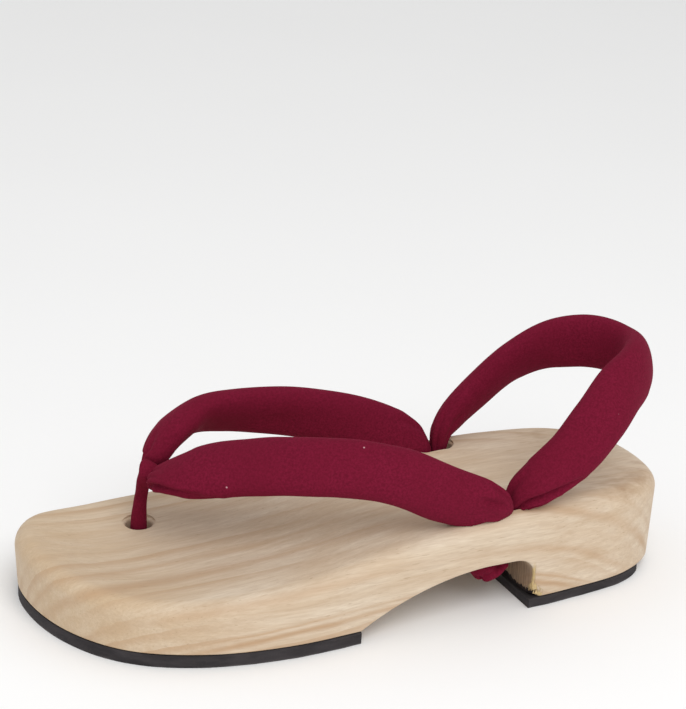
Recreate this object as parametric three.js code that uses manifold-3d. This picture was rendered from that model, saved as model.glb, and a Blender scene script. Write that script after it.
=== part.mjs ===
// Geta sandal, left shoe: a carved wooden sole on two rubber pads, a padded cloth V strap
// with a toe thong, and a padded sling behind the heel. The strap ends go down through two
// side holes and are knotted under the arch.
// Millimetres. +X runs from heel to toe, +Y to the outer side of the foot, +Z up.
import * as THREE from 'three';
import { mergeVertices } from 'three/addons/utils/BufferGeometryUtils.js';
import Module from 'manifold-3d';

const wasm = await Module();
wasm.setup();

// ---------- driving dimensions ----------
const RUBBER_THICK = 4.7;      // both pads, flat on the floor
const GAP = 0.3;               // between pieces that touch
const WOOD_BOTTOM = RUBBER_THICK + GAP;
const FOREFOOT_REAR = 142.5;   // square rear end of the forefoot block
const HEEL_FRONT = 70.8;       // square front face of the heel block
const PAD_PROUD = 0.9;         // the heel pad stands this far forward of the wood
const PAD_INSET = 0.3;         // and both pads are trimmed this far inside its walls
const WALL_DRAFT = 0.02;       // the side walls lean in towards the bottom
const EDGE_ROUND = 6;          // rounding where wall and footbed meet
const FOOTBED_DISH = 2.6;      // depth of the hollow for the foot
const TOE_HOLE = { x: 201, y: -31, diameter: 10 };
const SIDE_HOLE = { x: 79, length: 16, width: 9 };
const OUTER_HOLE_Y = 33.5;
const INNER_HOLE_Y = -27.5;
const ARCH_TOP = 21.2;         // height of the arch over the floor
const ARCH_CORNER = { along: 9, down: 8 };   // hollow corner between arch and heel block
const BEYOND_HEEL = -10;
const BEYOND_TOE = 260;
const SPINE = { heel: { x: 42, y: 3 }, toe: { x: 205, y: -6 } };
const KNOT = { x: 85.5, length: 17, width: 12, height: 11.2 };

// Plan outline of the sole's top edge, from the heel along the outer side and back.
const SOLE_OUTLINE = [
  { x: 0, y: -0.3 },
  { x: 4.6, y: 21.5 },
  { x: 22.3, y: 34.9 },
  { x: 55.1, y: 41.6 },
  { x: 95, y: 44.6 },
  { x: 135.1, y: 46.7 },
  { x: 170.1, y: 49.2 },
  { x: 200.3, y: 45.4 },
  { x: 225.8, y: 33.6 },
  { x: 241.6, y: 14.6 },
  { x: 249.4, y: -9.9 },
  { x: 248.6, y: -33 },
  { x: 237.7, y: -49.2 },
  { x: 211.7, y: -55.8 },
  { x: 176.2, y: -54.3 },
  { x: 140.7, y: -47.2 },
  { x: 100.4, y: -38.5 },
  { x: 55.2, y: -35.1 },
  { x: 22.1, y: -32 },
  { x: 5.1, y: -20.8 },
];

// Height of the footbed's edge along the sole.
const EDGE_HEIGHT = [
  { x: 0, z: 38.7 },
  { x: 40, z: 41.4 },
  { x: 70, z: 41.1 },
  { x: 100, z: 38 },
  { x: 130, z: 34 },
  { x: 160, z: 28.4 },
  { x: 190, z: 25.1 },
  { x: 220, z: 23.6 },
  { x: 250, z: 26.6 },
];

// The line inside the foot that the straps wrap round: their flat side faces it.
const FOOT_LINE = [
  { x: 60, y: 0, z: 62 },
  { x: 100, y: -3, z: 52 },
  { x: 150, y: -8, z: 42 },
  { x: 200, y: -22, z: 30 },
  { x: 260, y: -22, z: 28 },
];
const HEEL_AXIS = { x: 28, y: 1, below: 4 };

// Centre line and section of each strap: width across the foot's skin, thick off it.
const OUTER_STRAP = [
  { x: 203.5, y: -21.5, z: 47.3, width: 9, thick: 8.5 },
  { x: 197.8, y: -13, z: 48.9, width: 16.7, thick: 11 },
  { x: 188.8, y: -4.6, z: 52.5, width: 21.2, thick: 12.5 },
  { x: 174.6, y: 6.5, z: 57, width: 22.2, thick: 12.5 },
  { x: 160.5, y: 18.2, z: 60.5, width: 21.8, thick: 12.5 },
  { x: 144.5, y: 28, z: 61.8, width: 21.4, thick: 12.5 },
  { x: 124.7, y: 34.4, z: 58.4, width: 20.9, thick: 12.5 },
  { x: 107.3, y: 37, z: 50.9, width: 21, thick: 12.5 },
  { x: 93.5, y: 37.2, z: 45.6, width: 18.5, thick: 12 },
  { x: 85.2, y: 35.4, z: 41.5, width: 11, thick: 9 },
  { x: 82.6, y: 33.6, z: 36, width: 6, thick: 6 },
  { x: 82.4, y: 33.5, z: 29, width: 5.6, thick: 5.6 },
  { x: 82.4, y: 33.5, z: 21.6, width: 5.6, thick: 5.6 },
];
const INNER_STRAP = [
  { x: 201, y: -22, z: 47.6, width: 9, thick: 9 },
  { x: 194.3, y: -27.5, z: 50.7, width: 16, thick: 11 },
  { x: 188, y: -33, z: 56.3, width: 20, thick: 12.5 },
  { x: 176.3, y: -38.5, z: 60, width: 22, thick: 12.5 },
  { x: 161.7, y: -41, z: 59.5, width: 22, thick: 12.5 },
  { x: 143.8, y: -41, z: 57.6, width: 22, thick: 12.5 },
  { x: 123.5, y: -38, z: 54.2, width: 22, thick: 12.5 },
  { x: 106, y: -34, z: 49.4, width: 21, thick: 12.5 },
  { x: 93.5, y: -31, z: 45, width: 17.5, thick: 12 },
  { x: 85.4, y: -29, z: 41, width: 11, thick: 9 },
  { x: 82.6, y: -27.6, z: 36, width: 6, thick: 6 },
  { x: 82.4, y: -27.5, z: 29, width: 5.6, thick: 5.6 },
  { x: 82.4, y: -27.5, z: 21.6, width: 5.6, thick: 5.6 },
];
// The sling's outer half, from under the side hole to the middle of the heel's back.
const SLING_HALF = [
  { x: 75.6, y: 33.5, z: 21.6, width: 5.6, thick: 5.6 },
  { x: 75.6, y: 33.5, z: 29, width: 5.6, thick: 5.6 },
  { x: 75.4, y: 33.8, z: 37, width: 6.4, thick: 6 },
  { x: 74.2, y: 36, z: 44, width: 13, thick: 9 },
  { x: 67.3, y: 38.7, z: 51.4, width: 17.4, thick: 12 },
  { x: 55.7, y: 39.6, z: 60.7, width: 19.7, thick: 12.5 },
  { x: 43.9, y: 36.6, z: 70.9, width: 20.8, thick: 12.5 },
  { x: 31.5, y: 29.4, z: 78.6, width: 22.8, thick: 12.5 },
  { x: 20.5, y: 20.6, z: 81.8, width: 23.1, thick: 12.5 },
  { x: 13, y: 10.6, z: 82, width: 23.1, thick: 12.5 },
];
const SLING_BACK = { x: 9.8, y: 0, z: 81.6, width: 23.1, thick: 12.5 };
// The inner half is the outer half mirrored and drawn in, to end over the inner hole.
const INNER_SIDE_NARROWER = (SLING_BACK.y - INNER_HOLE_Y) / (OUTER_HOLE_Y - SLING_BACK.y);

// The thong between the toes, from the rubber up through the toe hole to the V.
const TOE_THONG = [
  { x: TOE_HOLE.x, y: TOE_HOLE.y, z: RUBBER_THICK + GAP, width: 7, thick: 7 },
  { x: TOE_HOLE.x, y: TOE_HOLE.y, z: 14, width: 7, thick: 7 },
  { x: TOE_HOLE.x, y: TOE_HOLE.y, z: 24, width: 7, thick: 6.6 },
  { x: 201.2, y: -30.4, z: 31, width: 6.4, thick: 6.2 },
  { x: 201.6, y: -29, z: 37, width: 7.6, thick: 6.8 },
  { x: 202, y: -27.2, z: 42.2, width: 10.6, thick: 8.2 },
  { x: 201.2, y: -25.8, z: 45.8, width: 10.8, thick: 8.2 },
  { x: 199.4, y: -25.4, z: 48, width: 8, thick: 6 },
];

// ---------- resolution ----------
const OUTLINE_STEPS = 96;         // points round the sole, from the heel
const V_STEPS = 44;
const SLING_STEPS = 72;
const THONG_STEPS = 24;
const THROUGH = 160;              // longer than the sole is wide or thick, for cutters
const ROUND_STEPS = 4;
const FOOTBED_RINGS = [0.12, 0.3, 0.52, 0.74, 0.9];
const SECTION_SIDES = 16;
const SECTION_SQUARENESS = 2.3;   // 2 is an ellipse, more is squarer

// ---------- small helpers ----------
function valueAt(table, column, x) {
  const last = table.length - 1;
  if (x <= table[0].x) return table[0][column];
  if (x >= table[last].x) return table[last][column];
  const i = table.findIndex((row) => row.x > x) - 1;
  const t = (x - table[i].x) / (table[i + 1].x - table[i].x);
  return THREE.MathUtils.lerp(table[i][column], table[i + 1][column], t);
}

const edgeCurve = new THREE.SplineCurve(EDGE_HEIGHT.map((row) => new THREE.Vector2(row.x, row.z)));
const edgePoints = edgeCurve.getPoints(64).map((p) => ({ x: p.x, z: p.y }));
const edgeHeight = (x) => valueAt(edgePoints, 'z', x);

function solidOf(geometry) {
  const bare = geometry.clone();
  bare.deleteAttribute('normal');
  bare.deleteAttribute('uv');
  const merged = mergeVertices(bare, 1e-4);
  return new wasm.Manifold(new wasm.Mesh({
    numProp: 3,
    vertProperties: new Float32Array(merged.attributes.position.array),
    triVerts: new Uint32Array(merged.index.array),
  }));
}

function geometryOf(solid) {
  const mesh = solid.getMesh();
  const geometry = new THREE.BufferGeometry();
  geometry.setAttribute('position', new THREE.BufferAttribute(mesh.vertProperties, 3));
  geometry.setIndex(new THREE.BufferAttribute(mesh.triVerts, 1));
  return geometry;
}

// Closed skin over rings of equal point counts, with a flat or pointed cap at each end.
function skinOfRings(rings, capTriangles) {
  const sides = rings[0].length;
  const points = rings.flat();
  const index = [];
  for (let r = 0; r < rings.length - 1; r += 1) {
    for (let i = 0; i < sides; i += 1) {
      const j = (i + 1) % sides;
      const a = r * sides + i;
      const b = r * sides + j;
      const c = (r + 1) * sides + j;
      const d = (r + 1) * sides + i;
      index.push(a, b, c, a, c, d);
    }
  }
  const top = (rings.length - 1) * sides;
  for (const [a, b, c] of capTriangles(rings[0])) index.push(a, c, b);
  for (const [a, b, c] of capTriangles(rings[rings.length - 1])) index.push(top + a, top + b, top + c);
  const geometry = new THREE.BufferGeometry().setFromPoints(points);
  geometry.setIndex(index);
  return geometry;
}

// The sole's rings start at the heel, so point i faces point n - i across the sole.
function capAcross(ring) {
  const n = ring.length;
  const triangles = [[0, 1, n - 1]];
  for (let i = 1; i < n / 2 - 1; i += 1) {
    triangles.push([i, i + 1, n - i - 1], [i, n - i - 1, n - i]);
  }
  triangles.push([n / 2 - 1, n / 2, n / 2 + 1]);
  return triangles;
}
const capAsFan = (ring) => ring.slice(2).map((_, i) => [0, i + 1, i + 2]);

// ---------- the wooden sole ----------
const outlineCurve = new THREE.CatmullRomCurve3(
  SOLE_OUTLINE.map((row) => new THREE.Vector3(row.x, row.y, 0)), true, 'centripetal');

// Outline of the top edge moved in by inset, with the outward normal worked out per point.
function outlineAt(inset) {
  const ring = [];
  for (let i = 0; i < OUTLINE_STEPS; i += 1) {
    const u = 1 - i / OUTLINE_STEPS;
    const point = outlineCurve.getPointAt(u % 1);
    const tangent = outlineCurve.getTangentAt(u % 1);
    const inward = new THREE.Vector3(tangent.y, -tangent.x, 0);
    ring.push(point.addScaledVector(inward, inset(point)));
  }
  return ring;
}

const wallDraft = (point) => WALL_DRAFT * (edgeHeight(point.x) - WOOD_BOTTOM);

// The footbed's rings close in on this line down the middle of the sole.
function spineNear(point) {
  const { heel, toe } = SPINE;
  const x = THREE.MathUtils.clamp(point.x, heel.x, toe.x);
  return new THREE.Vector3(x, THREE.MathUtils.mapLinear(x, heel.x, toe.x, heel.y, toe.y), 0);
}

function soleRings(grow) {
  const rings = [outlineAt((p) => wallDraft(p) - grow).map((p) => p.setZ(WOOD_BOTTOM))];
  for (let i = 0; i <= ROUND_STEPS; i += 1) {
    const angle = (i / ROUND_STEPS) * Math.PI / 2;
    const ring = outlineAt(() => EDGE_ROUND * (1 - Math.cos(angle)) - grow);
    const drop = EDGE_ROUND * (1 - Math.sin(angle)) - grow;
    rings.push(ring.map((p) => p.setZ(edgeHeight(p.x) - drop)));
  }
  const rim = rings[rings.length - 1];
  for (const s of FOOTBED_RINGS) {
    rings.push(rim.map((p) => {
      const q = p.clone().lerp(spineNear(p), s);
      const hollow = FOOTBED_DISH * THREE.MathUtils.smootherstep(s, -0.1, 0.8);
      return q.setZ(edgeHeight(q.x) - hollow + grow);
    }));
  }
  return rings;
}

// The arch seen from the side: up from the forefoot block, level, and down the heel block.
function archCut() {
  const arch = new THREE.Shape();
  arch.moveTo(FOREFOOT_REAR, 0);
  arch.lineTo(FOREFOOT_REAR, WOOD_BOTTOM);
  arch.bezierCurveTo(125, 15, 108, 20.5, 90, ARCH_TOP);
  arch.lineTo(HEEL_FRONT + ARCH_CORNER.along, ARCH_TOP);
  arch.quadraticCurveTo(HEEL_FRONT, ARCH_TOP, HEEL_FRONT, ARCH_TOP - ARCH_CORNER.down);
  arch.lineTo(HEEL_FRONT, 0);
  const cut = new THREE.ExtrudeGeometry(arch, {
    depth: THROUGH, bevelEnabled: false, curveSegments: 12,
  });
  cut.rotateX(Math.PI / 2);
  cut.translate(0, THROUGH / 2, 0);
  return solidOf(cut);
}

function sideHoleCut(y, grow) {
  const half = (SIDE_HOLE.length - SIDE_HOLE.width) / 2;
  const radius = SIDE_HOLE.width / 2 - grow;
  const slot = new THREE.Shape();
  slot.absarc(SIDE_HOLE.x + half, y, radius, -Math.PI / 2, Math.PI / 2);
  slot.absarc(SIDE_HOLE.x - half, y, radius, Math.PI / 2, 3 * Math.PI / 2);
  return solidOf(new THREE.ExtrudeGeometry(slot, {
    depth: THROUGH, bevelEnabled: false, curveSegments: 6,
  }));
}

function toeHoleCut(grow) {
  const radius = TOE_HOLE.diameter / 2 - grow;
  const drill = new THREE.CylinderGeometry(radius, radius, THROUGH, 16);
  drill.rotateX(Math.PI / 2);
  drill.translate(TOE_HOLE.x, TOE_HOLE.y, 0);
  return solidOf(drill);
}

// With grow, the wood is that much fatter, which is what the straps are cut with.
function woodenSole(grow = 0) {
  return solidOf(skinOfRings(soleRings(grow), capAcross))
    .subtract(archCut())
    .subtract(toeHoleCut(grow))
    .subtract(sideHoleCut(OUTER_HOLE_Y, grow))
    .subtract(sideHoleCut(INNER_HOLE_Y, grow));
}

// ---------- the rubber pads ----------
function rubberPad(from, to) {
  const inset = (p) => wallDraft(p) + PAD_INSET;
  const rings = [0, RUBBER_THICK].map((z) => outlineAt(inset).map((p) => p.setZ(z)));
  const slice = new THREE.BoxGeometry(to - from, THROUGH, THROUGH);
  slice.translate((from + to) / 2, 0, 0);
  return solidOf(skinOfRings(rings, capAcross)).intersect(solidOf(slice));
}

// ---------- the straps ----------
function towardsFootLine(point) {
  return new THREE.Vector3(
    point.x, valueAt(FOOT_LINE, 'y', point.x), valueAt(FOOT_LINE, 'z', point.x));
}
const towardsHeelAxis = (point) => new THREE.Vector3(
  HEEL_AXIS.x, HEEL_AXIS.y, point.z - HEEL_AXIS.below);
const towardsHeel = (point) => new THREE.Vector3(0, TOE_HOLE.y, point.z);

// A padded tube: an oval section carried along a smooth line through the table's rows.
function strap(rows, inside, steps, grow = 0) {
  const line = new THREE.CatmullRomCurve3(
    rows.map((row) => new THREE.Vector3(row.x, row.y, row.z)), false, 'centripetal');
  const sizes = new THREE.SplineCurve(rows.map((row) => new THREE.Vector2(row.width, row.thick)));
  const rings = [];
  for (let i = 0; i <= steps; i += 1) {
    const t = i / steps;
    const centre = line.getPoint(t);
    const along = line.getTangent(t);
    const size = sizes.getPoint(t);
    const off = centre.clone().sub(inside(centre));
    off.addScaledVector(along, -off.dot(along)).normalize();
    const across = along.clone().cross(off);
    const endGrow = i === 0 ? -grow : i === steps ? grow : 0;
    centre.addScaledVector(along, endGrow);
    const ring = [];
    for (let k = 0; k < SECTION_SIDES; k += 1) {
      const angle = (k / SECTION_SIDES) * 2 * Math.PI;
      const round = (v) => Math.sign(v) * Math.abs(v) ** (2 / SECTION_SQUARENESS);
      const a = round(Math.cos(angle)) * (size.x / 2 + grow);
      const b = round(Math.sin(angle)) * (size.y / 2 + grow);
      ring.push(centre.clone().addScaledVector(across, a).addScaledVector(off, b));
    }
    rings.push(ring);
  }
  const skin = skinOfRings(rings, capAsFan);
  const solid = solidOf(skin);
  return solid.volume() > 0 ? solid : solidOf(turnedInsideOut(skin));
}

function turnedInsideOut(geometry) {
  const flipped = geometry.clone();
  const index = flipped.index.array;
  for (let i = 0; i < index.length; i += 3) [index[i], index[i + 1]] = [index[i + 1], index[i]];
  return flipped;
}

// Both branches of the V, joined where they cross at the toes.
function vStrap(grow = 0) {
  const outer = strap(OUTER_STRAP, towardsFootLine, V_STEPS, grow);
  const inner = strap(INNER_STRAP, towardsFootLine, V_STEPS, grow);
  return outer.add(inner);
}


function heelSling() {
  const mirrored = SLING_HALF.map((row) => ({
    ...row, y: SLING_BACK.y - (row.y - SLING_BACK.y) * INNER_SIDE_NARROWER,
  }));
  const rows = [...SLING_HALF, SLING_BACK, ...mirrored.reverse()];
  return strap(rows, towardsHeelAxis, SLING_STEPS).subtract(vStrap(GAP));
}

function toeThong() {
  return strap(TOE_THONG, towardsHeel, THONG_STEPS).subtract(vStrap(GAP));
}

// The strap ends, folded and tied into one lump below each side hole.
function strapKnot(y) {
  const knot = new THREE.SphereGeometry(0.5, 20, 12);
  knot.scale(KNOT.length, KNOT.width, KNOT.height);
  knot.translate(KNOT.x, y, ARCH_TOP - GAP - KNOT.height / 2);
  return solidOf(knot);
}

// ---------- the shoe ----------
const wood = { color: 0xd9c3a4, roughness: 0.62, metalness: 0 };
const rubber = { color: 0x3f3c3e, roughness: 0.85, metalness: 0 };
const cloth = { color: 0x7a1c34, roughness: 0.95, metalness: 0 };

const shoe = new THREE.Group();
function addPiece(name, solid, finish) {
  const mesh = new THREE.Mesh(geometryOf(solid), new THREE.MeshStandardMaterial(finish));
  mesh.name = name;
  shoe.add(mesh);
}

const keepOff = woodenSole(GAP);
addPiece('wooden_sole', woodenSole(), wood);
addPiece('forefoot_rubber', rubberPad(FOREFOOT_REAR, BEYOND_TOE), rubber);
addPiece('heel_rubber', rubberPad(BEYOND_HEEL, HEEL_FRONT + PAD_PROUD), rubber);
addPiece('front_strap', vStrap().subtract(keepOff), cloth);
addPiece('toe_thong', toeThong().subtract(keepOff), cloth);
addPiece('heel_sling', heelSling().subtract(keepOff), cloth);
addPiece('outer_strap_knot', strapKnot(OUTER_HOLE_Y), cloth);
addPiece('inner_strap_knot', strapKnot(INNER_HOLE_Y), cloth);

// The origin is on the floor, under the middle of the whole shoe's box.
const box = new THREE.Box3().setFromObject(shoe);
shoe.position.set(-(box.min.x + box.max.x) / 2, -(box.min.y + box.max.y) / 2, -box.min.z);

export default shoe;
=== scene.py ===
# %% [markdown]
# # A geta sandal, left shoe
#
# A geta is a Japanese wooden sandal. This one is carved from a single block: the underside is
# cut away into an arch, so the shoe stands on a forefoot block and a heel block, each with a
# pad of sheet rubber. Padded cloth straps hold the foot: a V over the instep, a thong between
# the toes and a sling behind the heel. The straps go through holes and are knotted below.
#
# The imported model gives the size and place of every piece. Here each piece is made again with
# a finer surface, and given its wood, rubber or cloth. Nearly every surface is worked out as a
# grid of points with numpy, because a few named sizes then say all there is to its shape.

# %% Load the frame
import math

import bmesh
import bpy
import numpy as np
from mathutils import Matrix, Vector


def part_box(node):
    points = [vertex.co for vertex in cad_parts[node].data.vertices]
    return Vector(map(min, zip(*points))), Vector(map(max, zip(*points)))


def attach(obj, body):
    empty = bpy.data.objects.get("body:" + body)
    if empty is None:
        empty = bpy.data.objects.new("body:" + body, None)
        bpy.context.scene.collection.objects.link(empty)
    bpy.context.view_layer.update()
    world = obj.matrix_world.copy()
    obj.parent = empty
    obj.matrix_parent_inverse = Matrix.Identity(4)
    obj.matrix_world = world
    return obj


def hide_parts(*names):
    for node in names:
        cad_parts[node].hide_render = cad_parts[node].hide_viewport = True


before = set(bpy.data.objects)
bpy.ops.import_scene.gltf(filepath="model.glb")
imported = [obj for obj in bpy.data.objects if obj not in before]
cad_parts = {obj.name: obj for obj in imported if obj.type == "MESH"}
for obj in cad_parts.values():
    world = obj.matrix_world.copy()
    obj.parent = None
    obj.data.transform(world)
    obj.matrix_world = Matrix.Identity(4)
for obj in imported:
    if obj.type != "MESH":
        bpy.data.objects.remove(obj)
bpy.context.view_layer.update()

# %% [markdown]
# ## One place to measure from
#
# A shoemaker measures from the back of the heel and from the line down the middle of the
# heel. All sizes below are in millimetres from there, with x to the toe, y to the outer side
# of the foot and z up from the floor. One function turns them into the frame's metres.

# %% Millimetres on the shoe, metres in the frame
MM = 0.001
sole_low, sole_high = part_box("wooden_sole")
HEEL_LINE_OFF_MIDDLE = 3.5        # the heel's middle line is this far outside the box's middle
ORIGIN = np.array([
    sole_low.x,
    (sole_low.y + sole_high.y) / 2 + HEEL_LINE_OFF_MIDDLE * MM,
    0.0,
])
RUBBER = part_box("heel_rubber")[1].z / MM      # thickness of both pads
WOOD_BOTTOM = sole_low.z / MM                 # the wood starts here


def in_frame(points):
    """Millimetres on the shoe to metres in the frame: scale, then move to the heel."""
    return np.asarray(points, float) * MM + ORIGIN


print("sole", round((sole_high.x - sole_low.x) / MM, 1), "mm long, rubber", round(RUBBER, 2))

# %% [markdown]
# ## The camera
#
# A long lens on the shoe's outer side, well forward of the toe and a little above it. It
# could come last, but setting it first means that every later step can be looked at from
# where it counts. The view is slightly taller than wide, so its height takes the long side.

# %% Camera
CAMERA_AT = (419.9, 605.2, 337.9)
CAMERA_LOOKS_AT = (133.6, 0.0, 94.2)
CAMERA_ROLL = math.radians(2.94)
LENS = 98.5
LONG_SIDE = 36.0          # long side of the film, in millimetres as the lens is


def aim(at, target, roll=0.0):
    """Rotation that looks from one point to another, then turns about the line of sight."""
    line = Vector(in_frame(target) - in_frame(at))
    return (line.to_track_quat("-Z", "Y").to_matrix() @ Matrix.Rotation(roll, 3, "Z")).to_euler()


def add_object(name, data):
    """A new object in the scene, at the origin."""
    made = bpy.data.objects.new(name, data)
    bpy.context.collection.objects.link(made)
    return made


camera_data = bpy.data.cameras.new("camera")
camera_data.lens = LENS
camera_data.sensor_width = LONG_SIDE
camera = add_object("camera", camera_data)
camera.location = in_frame(CAMERA_AT)
camera.rotation_euler = aim(CAMERA_AT, CAMERA_LOOKS_AT, CAMERA_ROLL)
bpy.context.scene.camera = camera
print("camera", round(math.dist(CAMERA_AT, CAMERA_LOOKS_AT)), "mm away, lens", LENS)

# %% [markdown]
# ## Curves through a short table
#
# The shoe's lines are drawn as a pattern maker draws them: a few measured points and a smooth
# curve through them. Bezier handles would do too, but they double the numbers to choose.
# Here the curve between two rows is a cubic, and its slope at a row is blended from the
# chords on both sides, so it passes through every row without a corner.

# %% A smooth curve through rows
def smooth_curve(rows, closed=False, weight=0.5):
    """Curve through rows of numbers, as a function of u from 0 to 1, where each row takes an
    equal share of u. A chord counts in the slopes by its length to the power weight, which
    keeps the curve from swinging out between rows that are close together."""
    rows = np.asarray(rows, float)
    if closed:
        padded = np.vstack([rows[-1:], rows, rows[:2]])
        spans = len(rows)
    else:
        padded = np.vstack([2 * rows[0] - rows[1], rows, 2 * rows[-1] - rows[-2]])
        spans = len(rows) - 1

    def at(u):
        """The curve's rows at each u, by a cubic between the two rows around it."""
        q = np.clip(np.asarray(u, float), 0, 1) * spans
        i = np.minimum(q.astype(int), spans - 1)
        t = (q - i)[:, None]
        p0, p1, p2, p3 = (padded[i + k] for k in range(4))
        d0, d1, d2 = (
            np.linalg.norm(b - a, axis=1, keepdims=True) ** weight
            for a, b in ((p0, p1), (p1, p2), (p2, p3))
        )
        m1 = d1 * ((p1 - p0) / d0 - (p2 - p0) / (d0 + d1) + (p2 - p1) / d1)
        m2 = d1 * ((p2 - p1) / d1 - (p3 - p1) / (d1 + d2) + (p3 - p2) / d2)
        return (
            (2 * t**3 - 3 * t**2 + 1) * p1
            + (t**3 - 2 * t**2 + t) * m1
            + (3 * t**2 - 2 * t**3) * p2
            + (t**3 - t**2) * m2
        )

    return at


def smooth_step(x, low, high):
    """0 below low, 1 above high, and an S curve with level ends between."""
    t = np.clip((np.asarray(x, float) - low) / (high - low), 0, 1)
    return t**3 * (t * (6 * t - 15) + 10)


def bell(x, middle, width):
    """A soft bump of height 1 at middle, down to about a third one width away."""
    return np.exp(-(((np.asarray(x, float) - middle) / width) ** 2))


# %% [markdown]
# ## From a grid of points to a mesh
#
# Every surface here is a grid: one index runs along the piece and the other round it. Points,
# faces and cloth coordinates are worked out as whole arrays. A closed surface must face
# outwards, which its signed volume tells: it is negative when the faces are inside out.

# %% Grid to mesh
def grid_faces(rows, columns):
    """Corner indices of the quads of a grid whose columns close on themselves."""
    r, c = np.meshgrid(np.arange(rows - 1), np.arange(columns), indexing="ij")
    n = (c + 1) % columns
    here, ahead = r * columns, (r + 1) * columns
    return np.stack([here + c, here + n, ahead + n, ahead + c], -1).reshape(-1, 4)


def grid_corner_uv(along, around):
    """Cloth coordinates at each quad's corners, in millimetres along and round the piece.
    around has one value more than the grid has columns, so the last quad closes the loop."""
    rows, columns = len(along), around.shape[1] - 1
    r, c = np.meshgrid(np.arange(rows - 1), np.arange(columns), indexing="ij")
    corners = [(r, c), (r, c + 1), (r + 1, c + 1), (r + 1, c)]
    uv = np.stack([np.stack([along[i], around[i, j]], -1) for i, j in corners], 2)
    return uv.reshape(-1, 2)


def signed_volume(points, quads):
    """Six times the volume, summed from the pyramids between each face and the origin."""
    a, b, c, d = (points[quads[:, k]] for k in range(4))
    return np.sum(np.cross(a, b) * c) + np.sum(np.cross(a, c) * d)


def mesh_from_grid(name, grid, uv=None):
    """A closed mesh object from a grid (rows, columns, 3) in millimetres on the shoe. Rows that
    shrink to a point or fold onto themselves are merged, which closes the ends."""
    rows, columns = grid.shape[:2]
    points = in_frame(grid.reshape(-1, 3))
    quads = grid_faces(rows, columns)
    if signed_volume(points, quads) < 0:
        quads = quads[:, ::-1]
        if uv is not None:
            uv = uv.reshape(-1, 4, 2)[:, ::-1].reshape(-1, 2)
    mesh = bpy.data.meshes.new(name)
    mesh.from_pydata(points.tolist(), [], quads.tolist())
    if uv is not None:
        mesh.uv_layers.new(name="cloth").data.foreach_set("uv", uv.ravel().astype(np.float32))
    work = bmesh.new()
    work.from_mesh(mesh)
    bmesh.ops.remove_doubles(work, verts=work.verts, dist=1e-6)
    bmesh.ops.dissolve_degenerate(work, edges=work.edges, dist=1e-7)
    open_edges = sum(not e.is_manifold for e in work.edges)
    work.to_mesh(mesh)
    work.free()
    piece = add_object(name, mesh)
    print(name, len(mesh.polygons), "faces,", open_edges, "open edges")
    return piece


def shade(piece, sharp_above=40):
    """Smooth shading, with edges kept sharp where the surface turns by more than an angle."""
    mesh = piece.data
    mesh.polygons.foreach_set("use_smooth", np.ones(len(mesh.polygons), bool))
    mesh.set_sharp_from_angle(angle=math.radians(sharp_above))
    mesh.update()


def with_booleans(piece, others, operation):
    """Joins other closed meshes to the piece or cuts them out of it, and removes them."""
    for other in others:
        step = piece.modifiers.new("join_or_cut", "BOOLEAN")
        step.object = other
        step.operation = operation
        step.solver = "EXACT"
    graph = bpy.context.evaluated_depsgraph_get()
    result = bpy.data.meshes.new_from_object(piece.evaluated_get(graph))
    piece.modifiers.clear()
    piece.data = result
    for other in others:
        bpy.data.objects.remove(other)
    return piece


# %% [markdown]
# ## The sole's lines
#
# Three lines make the sole. The plan outline is that of a left shoe, rounder on the outer
# side. The edge line gives the height of the footbed's rim: high at the heel, low under the
# toes and rising again at the tip. The floor line, seen from the side, is flat under both
# blocks and climbs into the arch between them.

# %% Outline, edge height and arch
OUTLINE = [  # x, y of the top edge, from the heel along the outer side and back
    (0, -0.3), (4.6, 21.5), (22.3, 34.9), (55.1, 41.6), (95, 44.6),
    (135.1, 46.7), (170.1, 49.2), (200.3, 45.4), (225.8, 33.6), (241.6, 14.6),
    (249.4, -9.9), (248.6, -33), (237.7, -49.2), (211.7, -55.8), (176.2, -54.3),
    (140.7, -47.2), (100.4, -38.5), (55.2, -35.1), (22.1, -32), (5.1, -20.8),
]
EDGE_HEIGHT = [  # x, height of the rim
    (0, 38.7), (40, 41.4), (70, 41.1), (100, 38), (130, 34),
    (160, 28.4), (190, 25.1), (220, 23.6), (250, 26.6),
]
HEEL_FRONT = 69.8         # square front face of the heel block
FOREFOOT_REAR = 142.5     # rear end of the forefoot block
HEEL_TURNS = 34           # the outline turns in behind this
TOE_TURNS = 214           # and in front of this, so stations crowd towards both ends
ARCH_TOP = 21.2
HOLLOW_RUN = 9            # the hollow corner behind the arch: its length and its height
HOLLOW_RISE = 8
ARCH_LEVEL_TO = 90        # the arch is level up to here
SLOPE_PULL = [(108, 20.5), (125, 15)]     # and these two points draw its long slope
HEEL_BOTTOM = WOOD_BOTTOM - 0.9     # the heel's rubber is a little thinner
WALL_DRAFT = 0.02         # the walls lean in by this much of their height
TOE_DRAFT = 0.025         # and by this much more round the toe
EDGE_ROUND = 6.0          # rounding between wall and footbed
FOOTBED_DISH = 2.6
LOWER_ROUND = 0.7         # the lower edges are only broken with sandpaper

table_outline = smooth_curve(OUTLINE, closed=True)
dense_u = np.linspace(0, 1, 8001)
heel_u = dense_u[table_outline(dense_u)[:, 0].argmin()]


def outline_at(u):
    """The plan outline, with u = 0 and u = 1 at the very back of the heel."""
    return table_outline((np.asarray(u) + heel_u) % 1.0)


dense_outline = outline_at(dense_u)
toe_index = int(dense_outline[:, 0].argmax())
HEEL_BACK = dense_outline[0, 0]
OUTER_CORNER_Y = float(np.interp(HEEL_FRONT, *dense_outline[:toe_index].T))
edge_line = smooth_curve(EDGE_HEIGHT, weight=0.0)(np.linspace(0, 1, 400))


def edge_height(x):
    """Height of the rim at x, read off the smooth edge line."""
    return np.interp(x, edge_line[:, 0], edge_line[:, 1])


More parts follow.
